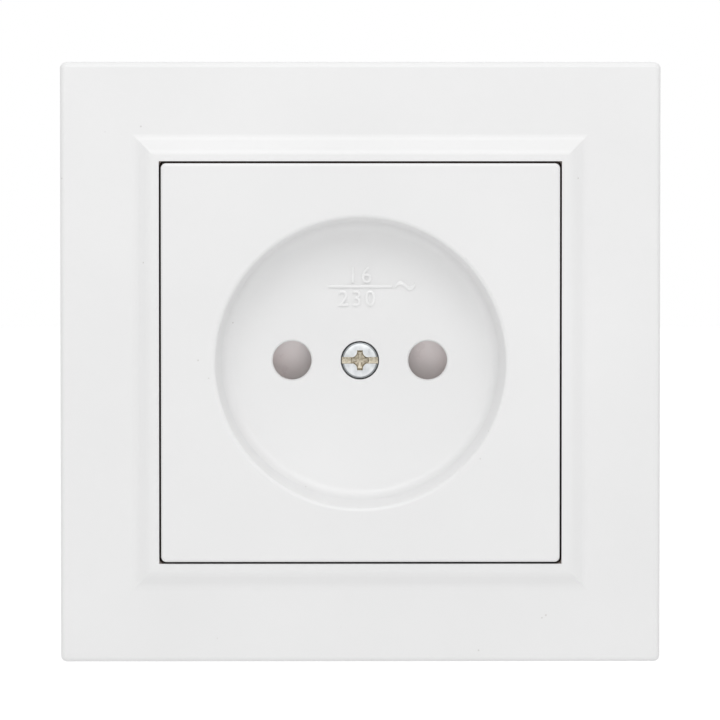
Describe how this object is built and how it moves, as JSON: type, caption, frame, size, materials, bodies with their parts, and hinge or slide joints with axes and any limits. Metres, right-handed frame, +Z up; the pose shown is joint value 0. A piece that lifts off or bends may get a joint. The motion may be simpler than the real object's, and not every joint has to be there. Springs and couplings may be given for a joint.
{
  "type": "unearthed wall socket",
  "caption": "Square flush wall socket with a round plug well, two pin holes behind a sliding shutter, a cover frame, a mounting strap, spreading claws and screw terminals.",
  "frame": {"origin": "middle of the wall plane that the back rim of the cover frame lies on", "axes": "+X right as seen from the room, +Z up, +Y into the wall, so the front faces -Y"},
  "size_m": [0.0834, 0.0353, 0.0834],
  "materials": {
    "cover_plastic": "satin moulded white",
    "shutter_plastic": "moulded pale grey",
    "base_plastic": "moulded light grey",
    "plated_steel": "zinc plated",
    "spring_steel": "bright drawn",
    "brass": "stamped"
  },
  "bodies": {
    "socket": {"cover_frame": "cover_plastic", "centre_plate": "cover_plastic", "centre_screw": "plated_steel", "centre_nut": "brass", "shutter_spring": "spring_steel", "shutter_retainer": "base_plastic", "mounting_strap": "plated_steel", "base": "base_plastic", "base_cover": "base_plastic", "base_cover_screw_upper": "plated_steel", "base_cover_screw_lower": "plated_steel", "strap_rivet_upper_left": "brass", "strap_rivet_upper_right": "brass", "strap_rivet_lower_left": "brass", "strap_rivet_lower_right": "brass", "contact_right": "brass", "contact_clip_right": "spring_steel", "terminal_block_right": "brass", "terminal_screw_inner_right": "plated_steel", "terminal_screw_outer_right": "plated_steel", "contact_left": "brass", "contact_clip_left": "spring_steel", "terminal_block_left": "brass", "terminal_screw_inner_left": "plated_steel", "terminal_screw_outer_left": "plated_steel"},
    "shutter": {"shutter": "shutter_plastic"},
    "claw_screw_right": {"claw_screw_right": "plated_steel"},
    "claw_right": {"claw_right": "plated_steel"},
    "claw_nut_right": {"claw_nut_right": "plated_steel"},
    "claw_screw_left": {"claw_screw_left": "plated_steel"},
    "claw_left": {"claw_left": "plated_steel"},
    "claw_nut_left": {"claw_nut_left": "plated_steel"}
  },
  "joints": [
    {"name": "shutter_slide", "type": "slide", "parent": "socket", "child": "shutter", "axis": [0, 0, 1], "range_m": [0, 0.006], "stiffness_N_per_m": 60, "springref_m": -0.002, "deforming": ["shutter_spring"]},
    {"name": "claw_nut_right_slide", "type": "slide", "parent": "socket", "child": "claw_nut_right", "axis": [0, -1, 0], "range_m": [0, 0.006]},
    {"name": "claw_right_slide", "type": "slide", "parent": "socket", "child": "claw_right", "axis": [0.5736, -0.8192, 0], "range_m": [0, 0.00733]},
    {"name": "claw_screw_right_turn", "type": "hinge", "parent": "socket", "child": "claw_screw_right", "pos_m": [0.02289, 0, -0.009], "axis": [0, 1, 0], "range_deg": [0, 4321]},
    {"name": "claw_nut_left_slide", "type": "slide", "parent": "socket", "child": "claw_nut_left", "axis": [0, -1, 0], "range_m": [0, 0.006]},
    {"name": "claw_left_slide", "type": "slide", "parent": "socket", "child": "claw_left", "axis": [-0.5736, -0.8192, 0], "range_m": [0, 0.00733]},
    {"name": "claw_screw_left_turn", "type": "hinge", "parent": "socket", "child": "claw_screw_left", "pos_m": [-0.02289, 0, 0.009], "axis": [0, 1, 0], "range_deg": [0, 4321]}
  ],
  "couplings": [
    {"joint": "claw_right_slide", "follows": "claw_nut_right_slide", "ratio": 1.2208},
    {"joint": "claw_screw_right_turn", "follows": "claw_nut_right_slide", "rad_per_m": 12566},
    {"joint": "claw_left_slide", "follows": "claw_nut_left_slide", "ratio": 1.2208},
    {"joint": "claw_screw_left_turn", "follows": "claw_nut_left_slide", "rad_per_m": 12566}
  ]
}
